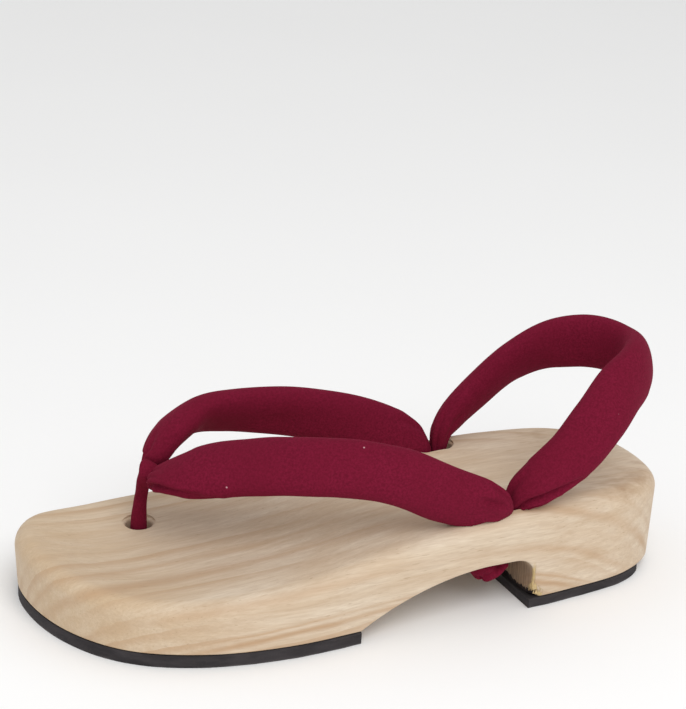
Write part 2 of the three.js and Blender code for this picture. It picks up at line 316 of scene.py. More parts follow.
def draft_at(x):
    """How far the wall leans in, as a share of its height."""
    return WALL_DRAFT + TOE_DRAFT * smooth_step(x, 222, 250)


def side_parameter(x, side):
    """Where along the outline the outer (+1) or inner (-1) side passes x."""
    if side > 0:
        part = slice(0, toe_index + 1)
        return np.interp(x, dense_outline[part, 0], dense_u[part])
    part = slice(toe_index, len(dense_u))
    return np.interp(x, dense_outline[part, 0][::-1], dense_u[part][::-1])


def outline_points(u, inset):
    """Outline points moved in by inset, square to the outline."""
    step = 1e-4
    along = outline_at(u + step) - outline_at(u - step)
    along /= np.linalg.norm(along, axis=1, keepdims=True)
    inward = np.stack([along[:, 1], -along[:, 0]], 1)
    return outline_at(u) + inward * np.reshape(inset, (-1, 1))


def bezier(controls, steps):
    """Cubic curve from the first to the last control, drawn towards the two between."""
    t = np.linspace(0, 1, steps + 1)[:, None]
    a, b, c, d = (np.array(p, float) for p in controls)
    return (1 - t) ** 3 * a + 3 * t * (1 - t) ** 2 * b + 3 * t**2 * (1 - t) * c + t**3 * d


def ends_close_together(start, stop, steps, crowd_start):
    """Steps from start to stop that crowd towards one end, as a quarter of a cosine."""
    t = np.linspace(0, 1, steps + 1)
    t = 1 - np.cos(t * math.pi / 2) if crowd_start else np.sin(t * math.pi / 2)
    return start + (stop - start) * t


def floor_line():
    """The lower edge seen from the side, heel to toe: flat heel block, its upright front
    face, a hollow corner, the level top of the arch, the long slope and the forefoot."""
    corner = ARCH_TOP - HOLLOW_RISE
    crowd_from = 62
    heel_x = np.concatenate([
        ends_close_together(HEEL_BACK, HEEL_TURNS, 26, True)[:-1],
        np.linspace(HEEL_TURNS, crowd_from, 15)[:-1],
        np.linspace(crowd_from, HEEL_FRONT, 14)[:-1],
    ])
    heel = np.stack([heel_x, np.full_like(heel_x, HEEL_BOTTOM)], 1)
    face_z = np.linspace(HEEL_BOTTOM, corner, 10)[:-1]
    face = np.stack([np.full_like(face_z, HEEL_FRONT), face_z], 1)
    out = HEEL_FRONT + HOLLOW_RUN
    pull = 2 / 3
    hollow = bezier([
        (HEEL_FRONT, corner), (HEEL_FRONT, corner + pull * HOLLOW_RISE),
        (out - pull * HOLLOW_RUN, ARCH_TOP), (out, ARCH_TOP),
    ], 9)[:-1]
    level = np.stack([np.linspace(out, ARCH_LEVEL_TO, 6)[:-1], np.full(5, ARCH_TOP)], 1)
    rear = (FOREFOOT_REAR, WOOD_BOTTOM)
    slope = bezier([(ARCH_LEVEL_TO, ARCH_TOP), *SLOPE_PULL, rear], 32)[:-1]
    tip = dense_outline[toe_index, 0]
    toe_x = np.concatenate([
        np.linspace(FOREFOOT_REAR, TOE_TURNS, 34)[:-1],
        ends_close_together(TOE_TURNS, tip, 28, False),
    ])
    toe = np.stack([toe_x, np.full_like(toe_x, WOOD_BOTTOM)], 1)
    return np.vstack([heel, face, hollow, level, slope, toe])


lower_edge = floor_line()
print("floor line has", len(lower_edge), "stations")

# %% [markdown]
# ## The wooden sole as one grid
#
# A block with an arch cut out by a boolean would be the carver's own way, but its rounded rim
# and leaning walls would then need many more cuts. Here each station along the floor line
# carries a loop that goes once round the sole: over the footbed, round the rim, down the
# outer wall, under the sole and up the inner wall. At heel and toe the two sides of the loop
# fall together, which closes the surface there. The tops of the walls use evenly spread
# stations, so the wall stays neat above the upright heel face.

# %% Stations and the footbed's middle
SPINE_X = (42, 205)       # the footbed's middle line runs between these, from this y to that
SPINE_Y = (3, -6)


def spread(values, reach=7, strength=5.0):
    """Running average with a bell-shaped weight, which parts stations that share one x."""
    k = np.arange(-3 * reach, 3 * reach + 1)
    weights = np.exp(-((k / strength) ** 2) / 2)
    weights /= weights.sum()
    padded = np.pad(values, 3 * reach, mode="reflect", reflect_type="odd")
    return np.convolve(padded, weights, mode="valid")


def station_tops(x_low):
    """x of each station at the rim: the floor line's x in the ends, evened out between."""
    middle = smooth_step(x_low, 36, 56) * (1 - smooth_step(x_low, 175, 205))
    return x_low * (1 - middle) + spread(x_low) * middle


def path_normals(path):
    """Unit normals of the floor line, pointing out of the wood: down, or forward on the
    front face of the heel block."""
    along = np.gradient(path, axis=0)
    along /= np.linalg.norm(along, axis=1, keepdims=True)
    return np.stack([along[:, 1], -along[:, 0]], 1)


def spine_points(x):
    """The line down the middle of the footbed, where its two halves meet."""
    x = np.clip(x, *SPINE_X)
    return np.stack([x, np.interp(x, SPINE_X, SPINE_Y)], 1)


def hollow_at(share):
    """Depth of the footbed's dish, where share is 0 at the rim and 1 at the middle line."""
    return FOOTBED_DISH * smooth_step(share, -0.1, 0.8)


# %% The sole's surface
def sole_side(side):
    """Rows of the sole's grid on one side, from the footbed's middle to the underside's."""
    x_low, z_low = lower_edge.T
    x_top = station_tops(x_low)
    u_top = side_parameter(x_top, side)
    rim = outline_points(u_top, EDGE_ROUND)
    spine = spine_points(x_top)
    rows = []
    for s in np.linspace(1, 0, 15)[:-1] ** 1.3:
        plan = rim + (spine - rim) * s
        rows.append(np.column_stack([plan, edge_height(plan[:, 0]) - hollow_at(s)]))
    for angle in np.linspace(math.pi / 2, 0, 9):
        plan = outline_points(u_top, EDGE_ROUND * (1 - math.cos(angle)))
        drop = EDGE_ROUND * (1 - math.sin(angle))
        rows.append(np.column_stack([plan, edge_height(plan[:, 0]) - drop]))
    shoulder = rows[-1][:, 2]
    normal = path_normals(lower_edge)
    lowest = lower_edge - normal * LOWER_ROUND
    u_lowest = side_parameter(lowest[:, 0], side)
    draft = draft_at(x_low) * (edge_height(x_low) - z_low)
    for v in 1 - (1 - np.linspace(0, 1, 19)[1:]) ** 1.35:
        u = u_top * (1 - v) + u_lowest * v
        z = shoulder * (1 - v) + lowest[:, 1] * v
        rows.append(np.column_stack([outline_points(u, draft * v), z]))
    for angle in np.linspace(0, math.pi / 2, 5)[1:]:
        point = lower_edge - normal * LOWER_ROUND * (1 - math.sin(angle))
        u = side_parameter(point[:, 0], side)
        plan = outline_points(u, draft + LOWER_ROUND * (1 - math.cos(angle)))
        rows.append(np.column_stack([plan, point[:, 1]]))
    lip = rows[-1]
    other = outline_points(side_parameter(x_low, -side), draft + LOWER_ROUND)
    keel = np.column_stack([(lip[:, :2] + other) / 2, z_low])
    for t in np.linspace(0, 1, 13)[1:] ** 0.8:
        rows.append(lip * (1 - t) + keel * t)
    rows[-1] = keel
    return np.stack(rows)


def sole_grid():
    """The whole loop: the outer side down, then the inner side back up, without repeating
    the two middle lines that they share."""
    outer, inner = sole_side(+1), sole_side(-1)
    middle = (outer[-1] + inner[-1]) / 2
    outer[-1] = middle
    outer[0] = inner[0] = (outer[0] + inner[0]) / 2
    loop = np.concatenate([outer, inner[-2:0:-1]])
    return loop.transpose(1, 0, 2)


wooden_sole = mesh_from_grid("wooden_sole_carved", sole_grid())

# %% [markdown]
# ## The torn edge
#
# The lower front edge of the heel block is end grain cut across, and a saw tears it: the real
# edge is ragged, with the worst chip at the outer corner. Bump alone would leave the edge's
# outline straight, so the edge's own points are moved into the wood by an uneven amount.

# %% Tear the heel block's front edge
def rough(x, seed, waves=5, longest=9.0):
    """Uneven curve between about -1 and 1: sines of shorter and shorter length, with phases
    drawn from a fixed seed."""
    draw = np.random.default_rng(seed)
    total = np.zeros_like(np.asarray(x, float))
    for k in range(waves):
        length = longest / 1.9**k
        total += np.sin(2 * math.pi * (x / length + draw.random())) / 1.35**k
    return total / 2.2


def points_of(piece):
    """The piece's points in millimetres on the shoe."""
    flat = np.empty(len(piece.data.vertices) * 3)
    piece.data.vertices.foreach_get("co", flat)
    return (flat.reshape(-1, 3) - ORIGIN) / MM


def set_points(piece, points):
    """Puts back points in millimetres on the shoe."""
    piece.data.vertices.foreach_set("co", in_frame(points).ravel())
    piece.data.update()


CHIP_WIDTH = 4.5          # the chip at the outer corner
TEAR_REACH = 1.1          # how far the tear spreads from the edge, and how much further
CHIP_REACH = 1.4          # it spreads in the chip


def tear_heel_edge(piece):
    """Points close to the block's lower front edge go back and up, more where the torn
    profile is deep, and most at the outer corner."""
    p = points_of(piece)
    from_edge = np.hypot(p[:, 0] - HEEL_FRONT, p[:, 2] - WOOD_BOTTOM)
    corner = bell(p[:, 1], OUTER_CORNER_Y, CHIP_WIDTH)
    torn = np.clip(0.5 + rough(p[:, 1], 4), 0, None)
    torn += corner * (1.6 + 1.3 * rough(p[:, 2], 9, 4, 4))
    depth = torn * np.exp(-((from_edge / (TEAR_REACH + CHIP_REACH * corner)) ** 2))
    depth *= p[:, 2] < ARCH_TOP - 6
    p[:, 0] -= depth * 0.9
    p[:, 2] += depth * 0.75
    p[:, 1] -= np.sign(p[:, 1]) * depth * corner * 0.6
    set_points(piece, p)
    print("edge torn up to", round(float(depth.max()), 1), "mm deep")


tear_heel_edge(wooden_sole)

# %% [markdown]
# ## The holes
#
# One hole between the toes lets the thong through, and an oblong one on each side takes both
# a branch of the V and an end of the sling. They are drilled after the carving, with a
# boolean, as in the workshop. Each cutter flares at its mouth, so that the rim is eased as
# with a countersink and the cloth has no sharp edge to rub on.

# %% Drill the holes
TOE_HOLE = (201.0, -31.0)
TOE_HOLE_DIAMETER = 10.0
SIDE_HOLE_X = 79.0
SIDE_HOLE_LENGTH = 16.0
SIDE_HOLE_WIDTH = 9.0
OUTER_HOLE_Y = 33.5
INNER_HOLE_Y = -27.5


def hole_cutter(name, x, y, top, radius, stretch=0.0, flare=1.4, around=48):
    """A bar with round ends, longer than the wood is thick. Its radius grows by flare in a
    quarter circle where it passes the top surface."""
    angle = np.linspace(0, 2 * math.pi, around, endpoint=False)
    ring = np.stack([np.cos(angle), np.sin(angle)], 1)
    shift = np.where(np.cos(angle) >= 0, stretch, -stretch)
    turn = np.linspace(0, math.pi / 2, 7)
    heights = np.concatenate([[-5], top - flare + flare * np.sin(turn), [top + 8]])
    radii = radius + np.concatenate([[0], flare * (1 - np.cos(turn)), [flare]])
    rows = [
        np.column_stack([x + shift + ring[:, 0] * r, y + ring[:, 1] * r, np.full(around, z)])
        for z, r in zip(heights, radii)
    ]
    ends = [np.tile([x, y, z], (around, 1)) for z in (heights[0], heights[-1])]
    return mesh_from_grid(name, np.stack([ends[0], *rows, ends[1]]))


def drill(piece):
    """The toe hole and the two oblong side holes, each at the height of the footbed there."""
    stretch = (SIDE_HOLE_LENGTH - SIDE_HOLE_WIDTH) / 2
    toe_top = edge_height(TOE_HOLE[0]) - FOOTBED_DISH * 0.7
    side_top = edge_height(SIDE_HOLE_X) - 0.4
    cutters = [hole_cutter("toe_drill", *TOE_HOLE, toe_top, TOE_HOLE_DIAMETER / 2)]
    for y in (OUTER_HOLE_Y, INNER_HOLE_Y):
        cutters.append(
            hole_cutter("side_drill", SIDE_HOLE_X, y, side_top, SIDE_HOLE_WIDTH / 2, stretch, 0.8)
        )
    return with_booleans(piece, cutters, "DIFFERENCE")


drill(wooden_sole)
shade(wooden_sole)
print("drilled sole:", len(wooden_sole.data.polygons), "faces")

# %% [markdown]
# ## The rubber pads
#
# Sheet rubber is glued on and then trimmed by hand along the wood, so its edge wanders a
# little in and out. A copy of the wood's underside, pushed down, would follow it too closely.
# So each pad is a slab of its own: a rectangle with its corners just broken, carried along
# the shoe between the two walls.

# %% Pads of sheet rubber
PAD_PROUD = 0.9           # the heel pad shows in front of the wood
HEEL_PAD_SHORT = 5.6      # it stops this far short of the heel's back,
HEEL_PAD_EASE = 11        # easing off over this length
PAD_CORNER = 0.35
PAD_INSET = 0.1
TRIM_WANDER = 0.18        # how far the hand-trimmed edge wanders, in waves up to this long
TRIM_WAVE = 60.0


def slab_loop(outer, inner, thick, corner, across=16):
    """Loop round one cross-section: up the outer side, over the top, down the inner side and
    back underneath, with corners cut at 45 degrees. outer and inner are (stations, 2)."""
    one = np.ones(len(outer))
    toward = inner - outer
    span = np.linalg.norm(toward, axis=1, keepdims=True)
    toward = toward / np.maximum(span, 1e-6)
    cut = np.minimum(corner, span / 2)
    rows = [(outer, corner), (outer, thick * 0.5), (outer, thick - corner)]
    for t in np.linspace(0, 1, across):
        rows.append((outer + toward * (cut + (span - 2 * cut) * t), thick))
    rows += [(inner, thick - corner), (inner, thick * 0.5), (inner, corner)]
    for t in np.linspace(1, 0, across):
        rows.append((outer + toward * (cut + (span - 2 * cut) * t), 0.0))
    return np.stack([np.column_stack([plan, one * z]) for plan, z in rows], 1)


def rubber_pad(name, cad_node, x_from, x_to, seed):
    """A pad between two stations. Where it reaches the heel's back or the toe's tip the loop
    shrinks to an upright line; at a square end it is closed by a flat face."""
    at_heel = x_from <= HEEL_BACK
    if at_heel:
        near = ends_close_together(HEEL_BACK, HEEL_TURNS, 40, True)
        x = np.concatenate([near[:-1], np.linspace(HEEL_TURNS, x_to, 24)])
    else:
        near = ends_close_together(TOE_TURNS, dense_outline[toe_index, 0], 44, False)
        x = np.concatenate([np.linspace(x_from, TOE_TURNS, 40)[:-1], near])
    wander = TRIM_WANDER * rough(x, seed, 4, TRIM_WAVE)
    inset = draft_at(x) * (edge_height(x) - WOOD_BOTTOM) + PAD_INSET - wander
    outer = outline_points(side_parameter(x, +1), inset)
    inner = outline_points(side_parameter(x, -1), inset)
    if at_heel:
        for side in (outer, inner):
            side[:, 0] += HEEL_PAD_SHORT * bell(x, HEEL_BACK, HEEL_PAD_EASE)
            side[-1, 0] = x_to
    else:
        outer[0, 0] = inner[0, 0] = x_from
    thick = RUBBER - (WOOD_BOTTOM - HEEL_BOTTOM) * at_heel
    grid = slab_loop(outer, inner, thick, PAD_CORNER)
    flat = grid[-1] if at_heel else grid[0]
    shrink = np.tile(flat.mean(0), (len(flat), 1))
    grid = np.concatenate([grid, [shrink]] if at_heel else [[shrink], grid])
    pad = mesh_from_grid(name, grid)
    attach(pad, "root")
    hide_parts(cad_node)
    shade(pad)
    return pad


heel_pad = rubber_pad("heel_pad", "heel_rubber", HEEL_BACK, HEEL_FRONT + PAD_PROUD, 11)
forefoot_pad = rubber_pad("forefoot_pad", "forefoot_rubber", FOREFOOT_REAR, None, 23)

# %% [markdown]
# ## Padded straps
#
# A strap is a cloth tube stuffed with soft fibre: an oval, flatter on the side that lies on
# the foot. Cloth simulation starts with a remesh, which would lose a tube this narrow, so the
# section is carried along a smooth line instead, and the frame at each station is turned so
# that the flat side faces the foot. Where the cloth is gathered, at every end, it folds: a
# fold is a trough between two ridges, drawn from one place on the tube to another.

# %% Frames along a line, folds and lumps


def frames_along(line, inside):
    """Unit vectors at each station: along the strap, off the foot, and across the strap."""
    along = np.gradient(line, axis=0)
    along /= np.linalg.norm(along, axis=1, keepdims=True)
    off = line - inside
    off -= along * np.sum(off * along, 1, keepdims=True)
    off /= np.linalg.norm(off, axis=1, keepdims=True)
    return along, off, np.cross(along, off)


def rounded_power(value, squareness):
    """Signed power that turns a circle's cosine and sine into a squarer oval's."""
    return np.sign(value) * np.abs(value) ** (2 / squareness)


def folds(s, a, girth, table):
    """Height of all folds on the tube at s millimetres along and angle a in degrees. Each
    row draws a straight trough from (s, angle) to (s, angle), with its depth and width. Its
    section is a bell upside down, with a ridge about a third as high on either side."""
    height = np.zeros(np.broadcast(s, a).shape)
    for s0, a0, s1, a1, depth, width in table:
        reach = np.array([s1 - s0, (a1 - a0) / 360 * girth])
        ds = s - s0
        da = ((a - a0 + 180) % 360 - 180) / 360 * girth
        length = np.hypot(*reach)
        t = np.clip((ds * reach[0] + da * reach[1]) / length**2, 0, 1)
        away = np.hypot(ds - t * reach[0], da - t * reach[1])
        fade = np.sin(math.pi * np.clip(0.12 + 0.8 * t, 0, 1)) ** 0.7
        trough = np.exp(-((away / width) ** 2))
        ridge = np.exp(-(((away - 2.1 * width) / (1.1 * width)) ** 2))
        height += fade * depth * (0.38 * ridge - trough)
    return height


def lumps(s, a, seed, size):
    """Slight unevenness of the stuffing: a few long waves along and round the tube."""
    draw = np.random.default_rng(seed)
    total = np.zeros(np.broadcast(s, a).shape)
    for k in range(7):
        length = draw.uniform(14, 46)
        turns = draw.integers(0, 4)
        total += np.sin(2 * math.pi * s / length + np.radians(a) * turns + draw.uniform(0, 6.3))
    return size * total / 7


# %% Carry a section along a line
AROUND = 88
SQUARENESS = 2.25         # 2 is an ellipse, more is squarer
FOOT_SIDE = 0.82          # the foot's side bulges less than the outer side
END_ROUND = 2.5           # every end closes in a quarter circle of this length
LUMP = 0.3                # unevenness of the stuffing, which starts and is full
LUMPY_WIDTHS = (7, 16)    # at these widths of the tube


def strap_grid(rows, inside_of, stations, fold_table, seed):
    """The strap's surface: rows are x, y, z, width, thick. A point is the line's, plus half
    the width times the oval's cosine across, plus half the thickness times its sine off the
    foot, both swelled by the folds. Returns the grid, and for the weave the distance along
    at each station and round the tube at each corner."""
    rows = np.asarray(rows, float)
    u = np.linspace(0, 1, stations)
    line = smooth_curve(rows[:, :3])(u)
    size = smooth_curve(rows[:, 3:], weight=0.0)(u)
    s = np.concatenate([[0], np.cumsum(np.linalg.norm(np.diff(line, axis=0), axis=1))])
    even = np.linspace(0, s[-1], stations)
    line = np.stack([np.interp(even, s, line[:, k]) for k in range(3)], 1)
    size = np.stack([np.interp(even, s, size[:, k]) for k in range(2)], 1)
    s = even
    _, off, across = frames_along(line, inside_of(line))
    a = np.linspace(0, 360, AROUND, endpoint=False)
    c = rounded_power(np.cos(np.radians(a)), SQUARENESS)
    d = rounded_power(np.sin(np.radians(a)), SQUARENESS)
    d = np.where(d < 0, d * FOOT_SIDE, d)
    girth = math.pi * (1.5 * (size[:, :1] + size[:, 1:]) - np.sqrt(size[:, :1] * size[:, 1:])) / 2
    h = folds(s[:, None], a[None], girth.mean(), fold_table)
    h = h + lumps(s[:, None], a[None], seed, LUMP) * smooth_step(size[:, :1], *LUMPY_WIDTHS)
    to_end = np.clip(np.minimum(s, s[-1] - s) / END_ROUND, 0, 1)
    close = np.sqrt(1 - (1 - to_end) ** 2)
    half_w = (size[:, :1] / 2 + h) * close[:, None]
    half_t = (size[:, 1:] / 2 + h) * close[:, None]
    grid = line[:, None] + across[:, None] * (half_w * c)[..., None]
    grid += off[:, None] * (half_t * d)[..., None]
    around = np.linspace(0, 1, AROUND + 1)[None] * girth
    return grid, s, around


def strap_mesh(name, grid, s, around):
    """A closed strap with its weave's coordinates."""
    return mesh_from_grid(name, grid, grid_corner_uv(s, around))


# %% [markdown]
# ## Cloth that presses on wood
#
# A soft strap doesn't pass through the block it lies on: it flattens. A shrinkwrap modifier
# could do this, but it would also catch the ends that go down into the holes. So the wood's
# height is worked out again from its lines, and any point of a strap that would be inside
# the wood, outside the holes, is lifted to just above the surface.

# %% Rest soft points on the wood
PRESS_GAP = 0.25
RIM_TO_MIDDLE = 34        # the rim is about this far from the footbed's middle line
DEEPEST_LIFT = 12         # deeper points belong to an end that hangs below the wood
short_outline = dense_outline[::8]


def depth_inside_outline(x, y):
    """How far inside the plan outline each point is, negative outside."""
    points = np.stack([x, y], 1)
    a, b = short_outline, np.roll(short_outline, -1, axis=0)
    nearest = np.full(len(points), 1e9)
    for start in range(0, len(a), 64):
        gap = points[:, None] - a[None, start:start + 64]
        nearest = np.minimum(nearest, np.hypot(gap[..., 0], gap[..., 1]).min(1))
    crosses = (a[None, :, 1] > y[:, None]) != (b[None, :, 1] > y[:, None])
    rise = np.where(a[:, 1] == b[:, 1], 1e-9, b[:, 1] - a[:, 1])
    at = a[None, :, 0] + (y[:, None] - a[None, :, 1]) * ((b[:, 0] - a[:, 0]) / rise)[None]
    inside = (crosses & (x[:, None] < at)).sum(1) % 2 == 1
    return np.where(inside, nearest, -nearest)


def wood_height(x, y):
    """Top of the wood at each point: the rounded rim, then the hollow of the footbed."""
    d = depth_inside_outline(x, y)
    lean = np.clip((EDGE_ROUND - d) / EDGE_ROUND, 0, 1)
    rim = edge_height(x) - EDGE_ROUND * (1 - np.sqrt(1 - lean**2))
    hollow = hollow_at((d - EDGE_ROUND) / RIM_TO_MIDDLE)
    return np.where(d > 0, rim - hollow, -1e9)


def rest_on_wood(grid):
    """Lifts the points of a strap's grid that lie in the wood."""
    p = grid.reshape(-1, 3)
    top = wood_height(p[:, 0], p[:, 1]) + PRESS_GAP
    half = (SIDE_HOLE_LENGTH - SIDE_HOLE_WIDTH) / 2
    in_hole = np.hypot(p[:, 0] - TOE_HOLE[0], p[:, 1] - TOE_HOLE[1]) < TOE_HOLE_DIAMETER / 2
    for y in (OUTER_HOLE_Y, INNER_HOLE_Y):
        beyond = np.maximum(np.abs(p[:, 0] - SIDE_HOLE_X) - half, 0)
        in_hole |= np.hypot(beyond, p[:, 1] - y) < SIDE_HOLE_WIDTH / 2
    low = (p[:, 2] < top) & ~in_hole & (p[:, 2] > top - DEEPEST_LIFT)
    lifted = p.copy()
    lifted[low, 2] = top[low]
    return lifted.reshape(grid.shape)


# %% [markdown]
# ## The V strap
#
# The upper: two branches that start together under the thong, spread over the instep and run
# down to the side holes. Near the thong the cloth puckers along its lower edge, and at the
# holes the full tube ends blunt, with short folds that run into the neck. One bent tube would
# be too smooth at its point, so each branch is a tube of its own, and a boolean joins their
# tips where the thong covers the join.

# %% The V strap's two branches
FOOT_LINE = np.array([  # x, y, z of the line inside the foot that the straps face
    (60, 0, 62), (100, -3, 52), (150, -8, 42), (200, -22, 30), (260, -22, 28),
])
OUTER_BRANCH = [  # x, y, z, width, thick
    (197, -29, 43.6, 4.5, 5), (197.8, -24.4, 42.9, 6.4, 6), (197.4, -20.2, 43.2, 8.8, 7),
    (195.8, -16.4, 46.9, 17.4, 10.4),
    (189.2, -5, 52.2, 21.2, 12.5),
    (174.6, 6.5, 57, 22.2, 12.8), (160.5, 18.2, 60.5, 21.8, 12.8), (144.5, 28, 61.8, 21.4, 12.8),
    (124.7, 34.4, 58.4, 21.2, 12.8), (107.3, 37.2, 50.4, 21.6, 12.6), (93.4, 37.9, 44.7, 20, 12),
    (86.6, 37.4, 41.6, 17, 11.2), (82.6, 35.6, 38.6, 10, 8.4), (82.2, 33.6, 33.5, 6, 6),
    (82.4, 33.5, 27, 5.4, 5.4), (82.4, 33.5, 21.6, 5.2, 5.2),
]
INNER_BRANCH = [
    (198.4, -21.6, 42.8, 4.5, 5), (198.6, -25, 43.7, 6.2, 6.4), (198, -27.4, 45.6, 7.6, 7.2),
    (195.2, -28.8, 49.8, 15.4, 10.2),
    (188, -33, 56.3, 20, 12.5),
    (176.3, -38.5, 60, 22, 12.8), (161.7, -41, 59.5, 22, 12.8), (143.8, -41, 57.6, 22, 12.8),
    (123.5, -38, 54.2, 22, 12.8), (106, -34, 49.4, 21.2, 12.6), (94, -31.2, 45.2, 19, 12),
    (87.2, -29.4, 41.8, 14.5, 10), (83.2, -27.8, 38, 7.5, 7), (82.4, -27.5, 33, 5.6, 5.6),
    (82.4, -27.5, 26, 5.4, 5.4), (82.4, -27.5, 21.6, 5.2, 5.2),
]
OUTER_FOLDS = [  # from mm, degrees, to mm, degrees, depth, width; 0 is the lower edge
    (11, 2, 33, 10, 2.0, 1.3), (19, -12, 38, -9, 1.2, 1.5), (11, 70, 20, 62, 0.6, 1.0),
    (11, 34, 22, 30, 0.5, 0.9), (11, -60, 25, -40, 0.9, 1.6), (11, 200, 29, 215, 0.8, 1.6),
    (138, 112, 148, 124, 1.3, 0.9), (141, 60, 150, 72, 0.8, 0.9), (139, 165, 149, 150, 0.8, 1.0),
    (135, 10, 148, 30, 0.7, 1.2), (133, -60, 147, -40, 0.9, 1.4), (65, 250, 100, 262, 0.5, 2.4),
]
INNER_FOLDS = [  # 0 is the upper edge
    (9, 66, 18, 76, 0.7, 1.1), (9, 110, 22, 104, 0.5, 1.2), (9, 160, 25, 176, 0.8, 1.4),
    (9, -70, 25, -50, 0.9, 1.6), (9, 230, 25, 215, 0.8, 1.6),
    (122, 60, 133, 70, 0.9, 1.0), (123, 110, 134, 100, 1.0, 1.0), (121, 20, 133, 36, 0.8, 1.1),
    (121, 170, 133, 150, 0.9, 1.2), (119, -60, 132, -40, 0.8, 1.4), (53, 262, 89, 270, 0.5, 2.4),
]


def inside_foot(line):
    """Points on the foot's own line at each station's x."""
    y, z = (np.interp(line[:, 0], FOOT_LINE[:, 0], FOOT_LINE[:, k]) for k in (1, 2))
    return np.stack([line[:, 0], y, z], 1)


def branch(name, rows, fold_table, seed):
    """One branch of the V: a padded tube along its rows, pressed flat where it meets wood."""
    grid, s, around = strap_grid(rows, inside_foot, 330, fold_table, seed)
    print(name, "runs", round(s[-1]), "mm")
    return strap_mesh(name, rest_on_wood(grid), s, around)


front_strap = branch("front_strap_padded", OUTER_BRANCH, OUTER_FOLDS, 3)
with_booleans(front_strap, [branch("inner_branch", INNER_BRANCH, INNER_FOLDS, 7)], "UNION")

# %% [markdown]
# ## The toe thong
#
# A narrow band of the same cloth comes up between the toes, widens, bends over the point of
# the V and ends inside it. It could be wrapped round the V as a flat sheet, but it is stuffed
# a little too, so it is the same kind of tube, only flatter, with two faint folds.

# %% The thong over the V's point
THONG = [
    (201, -31, 5.2, 6.4, 6.4), (201, -31, 14, 6.4, 6.4), (201, -31, 24, 6, 6),
    (200.8, -30.4, 31, 5, 5.4), (200.9, -28.4, 36.4, 4.8, 4.6), (201.6, -25, 41, 5.2, 4),
    (202, -21.6, 44.4, 6, 3.8), (201.6, -19.8, 47, 7, 3.8), (200.2, -21.4, 49, 8, 3.8),
    (198.6, -24.2, 48.2, 7.8, 3.6), (197.2, -26.6, 45.8, 6.6, 3.4), (196.6, -28, 43.2, 5, 3.2),
]
THONG_FOLDS = [(30, 84, 42, 96, 0.3, 1.0), (26, 130, 38, 124, 0.25, 0.8)]
V_POINT = (201.0, -25.5, 43.0)


def inside_thong(line):
    """Low down the band's flat side faces the inner side, and over the V the V's point."""
    inwards = line - (0, 10, 0)
    over = smooth_step(line[:, 2], 38, 45)[:, None]
    return inwards * (1 - over) + np.array(V_POINT) * over


grid, s, around = strap_grid(THONG, inside_thong, 150, THONG_FOLDS, 5)
toe_thong = strap_mesh("toe_thong_band", grid, s, around)
print("thong runs", round(s[-1]), "mm")

# %% [markdown]
# ## The heel sling
#
# The same tube, from one side hole up round the back of the heel and down to the other. Only
# the outer half is charted, because the inner half mirrors it, drawn in a little to a hole
# that is nearer the middle. At the holes the cloth is gathered hard: one long fold runs from
# the pinch up the outer side and parts a thin lower lip from the rest.

# %% The sling behind the heel
SLING_HALF = [
    (75.6, 33.5, 21.6, 5.2, 5.2), (75.6, 33.5, 27, 5.4, 5.4), (75.6, 33.6, 33, 5.8, 5.6),
    (75.4, 34.4, 39, 8, 7), (73.6, 35.9, 45, 13.4, 9.2), (67, 38.4, 51.6, 17.2, 11.6),
    (55.5, 39.4, 60.7, 19.6, 12.4), (43.9, 36.6, 70.9, 21.2, 12.4), (31.5, 29.4, 78.6, 22.8, 12.6),
    (20.3, 21.4, 81.8, 23.1, 12.6), (12.8, 11.6, 82, 23.1, 12.6),
]
SLING_BACK = (9.8, 0.0, 81.6, 23.1, 12.6)
HEEL_MIDDLE = (28.0, 1.0)     # x, y of the upright line that the sling faces
SLING_FOLDS = [  # 0 is the lower, rear edge and 90 the outer face
    (18, 66, 43, 28, 2.0, 1.4), (18, 36, 33, 10, 1.1, 0.9), (17, 110, 30, 128, 0.8, 1.2),
    (17, 160, 32, 172, 0.7, 1.4), (17, -40, 34, -30, 1.0, 1.6), (17, 230, 34, 240, 1.0, 1.6),
]


def inside_heel(line):
    """Points on an upright line in the heel, a little below each station."""
    x, y = (np.full(len(line), k) for k in HEEL_MIDDLE)
    return np.stack([x, y, line[:, 2] - 4], 1)


def sling_rows():
    """The outer half, the back, and the outer half mirrored and drawn in to the inner hole."""
    half = np.array(SLING_HALF)
    narrower = (SLING_BACK[1] - INNER_HOLE_Y) / (OUTER_HOLE_Y - SLING_BACK[1])
    inner = half[::-1].copy()
    inner[:, 1] = SLING_BACK[1] - (inner[:, 1] - SLING_BACK[1]) * narrower
    return np.vstack([half, [SLING_BACK], inner])


def sling_length(rows):
    """Length of the middle line, as the sum of 599 short chords."""
    line = smooth_curve(rows[:, :3])(np.linspace(0, 1, 600))
    return np.linalg.norm(np.diff(line, axis=0), axis=1).sum()


rows = sling_rows()
length = sling_length(rows)
mirrored_folds = [(length - f[0], f[1], length - f[2], f[3], f[4] * 0.8, f[5]) for f in SLING_FOLDS]
grid, s, around = strap_grid(rows, inside_heel, 480, SLING_FOLDS + mirrored_folds, 13)
heel_sling = strap_mesh("heel_sling_padded", rest_on_wood(grid), s, around)
print("sling runs", round(length), "mm")

# %% [markdown]
# ## The knots
#
# Below each side hole the straps' ends are tied in an overhand knot. Its crossings are hard to
# place by hand, but the path of the simplest closed knot, the trefoil, has them all in a few
# sines. Squeezed flat and pressed up against the wood, it looks like the tied cloth.

# %% Knots under the arch
KNOT_BOX = (17.0, 12.0, 10.4)
KNOT_X = 86.0
KNOT_TOP = ARCH_TOP - 0.3
KNOT_CORD = 6.8
KNOT_LENGTH = 90.0        # of the cloth in one knot, for its weave


